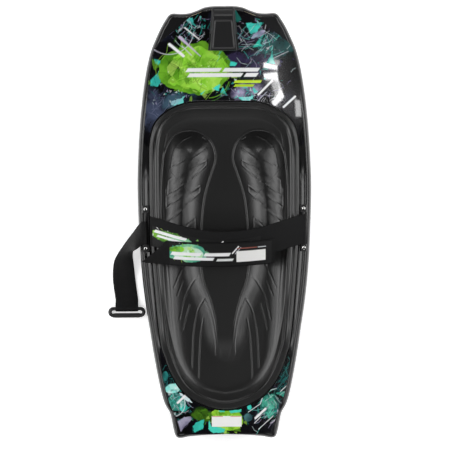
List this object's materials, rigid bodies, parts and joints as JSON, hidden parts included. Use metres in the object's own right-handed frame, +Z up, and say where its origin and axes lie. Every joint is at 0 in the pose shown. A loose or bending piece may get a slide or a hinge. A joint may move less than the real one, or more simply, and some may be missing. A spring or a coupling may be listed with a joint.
{
  "type": "kneeboard",
  "caption": "Towed kneeboard with contoured foam knee pad, tow hook on the nose and a two-part thigh strap on bar brackets at the rails.",
  "frame": {"origin": "on the flat of the hull's underside, under the middle of the board's length and width", "axes": "+Y towards the nose, +Z up out of the deck, +X to the right of a rider who faces the nose"},
  "size_m": [0.6093, 1.2744, 0.1716],
  "materials": {
    "shell": "gloss",
    "foam": "cellular",
    "eva": "matte",
    "print": "gloss",
    "label": "satin",
    "nylon": "satin",
    "steel": "polished",
    "brass": "satin",
    "webbing": "woven",
    "neoprene": "matte"
  },
  "bodies": {
    "board": {"hull_shell": "shell", "deck_shell": "shell", "foam_core": "foam", "knee_pad": "eva", "nose_graphic": "print", "tail_graphic": "print", "blank_label": "label", "tow_hook": "nylon", "hook_left_bolt": "steel", "hook_right_bolt": "steel", "hook_left_insert": "brass", "hook_right_insert": "brass", "left_bracket": "nylon", "right_bracket": "nylon", "left_front_bolt": "steel", "left_rear_bolt": "steel", "right_front_bolt": "steel", "right_rear_bolt": "steel", "left_front_washer": "steel", "left_rear_washer": "steel", "right_front_washer": "steel", "right_rear_washer": "steel", "left_front_insert": "brass", "left_rear_insert": "brass", "right_front_insert": "brass", "right_rear_insert": "brass", "ring_strap_loop": "webbing"},
    "long_strap": {"thigh_strap": "webbing", "strap_liner": "neoprene", "tongue_root": "webbing"},
    "tongue": {"pull_tongue": "webbing", "tongue_patch": "print"},
    "hanging_strap": {"ring_strap": "webbing"},
    "ring": {"strap_ring": "nylon"}
  },
  "joints": [
    {"name": "strap_lift", "type": "hinge", "parent": "board", "child": "long_strap", "pos_m": [0.2338, -0.017, 0.0918], "axis": [0, 1, 0], "range_deg": [0, 110]},
    {"name": "tongue_lift", "type": "hinge", "parent": "long_strap", "child": "tongue", "pos_m": [-0.1682, -0.0921, 0.1135], "axis": [0, -0.9673, -0.2538], "range_deg": [0, 120]},
    {"name": "drape_lift", "type": "hinge", "parent": "board", "child": "hanging_strap", "pos_m": [-0.2521, -0.0361, 0.0944], "axis": [-0.0505, 0.9735, -0.223], "range_deg": [0, 70]},
    {"name": "ring_turn", "type": "hinge", "parent": "hanging_strap", "child": "ring", "pos_m": [-0.2948, -0.2565, 0.0089], "axis": [-1, 0, 0], "range_deg": [0, 120]}
  ]
}
